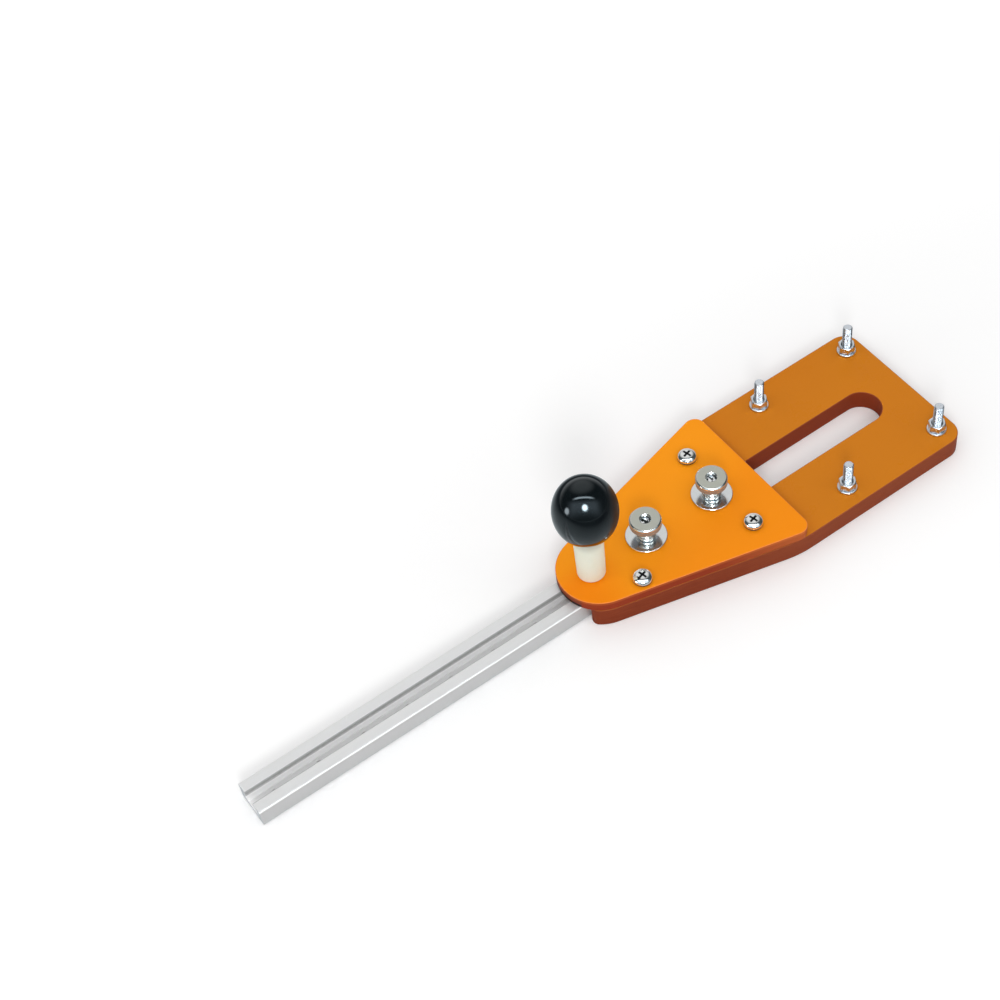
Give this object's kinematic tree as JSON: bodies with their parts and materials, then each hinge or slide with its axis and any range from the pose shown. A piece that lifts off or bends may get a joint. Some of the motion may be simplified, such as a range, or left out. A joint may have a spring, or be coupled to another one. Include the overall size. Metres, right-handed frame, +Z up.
{
  "type": "circle cutting jig",
  "caption": "Forked base plate under a tapered cover that clamps a sliding slotted rail with knurled thumb nuts, with a ball handle on the nose, for cutting circles with a bolted-on machine.",
  "frame": {"origin": "under the middle of the whole jig, rail included, on the plane of the base plate's underside", "axes": "+X runs along the rail from its free end to the machine end, +Z is up, +Y is to the left when looking along +X"},
  "size_m": [0.398, 0.091, 0.0873],
  "materials": {
    "base_laminate": "amber phenolic laminate, polished face, darker sawn edges",
    "cover_laminate": "orange laminate, satin face, red-brown sawn edges",
    "rail_aluminium": "clear anodised extrusion with fine lengthways drawing lines",
    "bright_steel": "polished and plated",
    "zinc_steel": "bright blue zinc plating",
    "stem_nylon": "turned natural nylon, slightly translucent",
    "ball_resin": "polished black resin",
    "insert_brass": "turned brass"
  },
  "bodies": {
    "root": {"base_plate": "base_laminate", "cover_plate": "cover_laminate", "clamp_bolt_1": "zinc_steel", "clamp_bolt_2": "zinc_steel", "cover_screw_1": "bright_steel", "cover_screw_2": "bright_steel", "cover_screw_3": "bright_steel", "cover_screw_4": "bright_steel", "handle_stem": "stem_nylon", "ball_knob": "ball_resin", "ball_insert": "insert_brass", "handle_bolt": "zinc_steel", "machine_screw_1": "zinc_steel", "machine_screw_2": "zinc_steel", "machine_screw_3": "zinc_steel", "machine_screw_4": "zinc_steel", "machine_washer_1": "zinc_steel", "machine_washer_2": "zinc_steel", "machine_washer_3": "zinc_steel", "machine_washer_4": "zinc_steel", "machine_nut_1": "zinc_steel", "machine_nut_2": "zinc_steel", "machine_nut_3": "zinc_steel", "machine_nut_4": "zinc_steel"},
    "rail": {"rail": "rail_aluminium"},
    "pivot": {"pivot_pin": "bright_steel"},
    "clamp_1": {"clamp_washer_1": "bright_steel"},
    "nut_1": {"thumb_nut_1": "bright_steel"},
    "clamp_2": {"clamp_washer_2": "bright_steel"},
    "nut_2": {"thumb_nut_2": "bright_steel"}
  },
  "joints": [
    {"name": "rail_slide", "type": "slide", "parent": "root", "child": "rail", "axis": [1, 0, 0], "range_m": [-0.022, 0.033]},
    {"name": "pivot_drop", "type": "slide", "parent": "rail", "child": "pivot", "axis": [0, 0, -1], "range_m": [0, 0.005]},
    {"name": "clamp_1_rise", "type": "slide", "parent": "root", "child": "clamp_1", "axis": [0, 0, 1], "range_m": [0, 0.002]},
    {"name": "nut_1_turn", "type": "hinge", "parent": "clamp_1", "child": "nut_1", "pos_m": [0.0313, 0, 0.027], "axis": [0, 0, 1], "range_deg": [0, 720]},
    {"name": "clamp_2_rise", "type": "slide", "parent": "root", "child": "clamp_2", "axis": [0, 0, 1], "range_m": [0, 0.002]},
    {"name": "nut_2_turn", "type": "hinge", "parent": "clamp_2", "child": "nut_2", "pos_m": [0.0721, 0, 0.027], "axis": [0, 0, 1], "range_deg": [0, 720]}
  ],
  "couplings": [
    {"joint": "clamp_1_rise", "follows": "nut_1_turn", "m_per_rad": 0.00015915},
    {"joint": "clamp_2_rise", "follows": "nut_2_turn", "m_per_rad": 0.00015915}
  ]
}
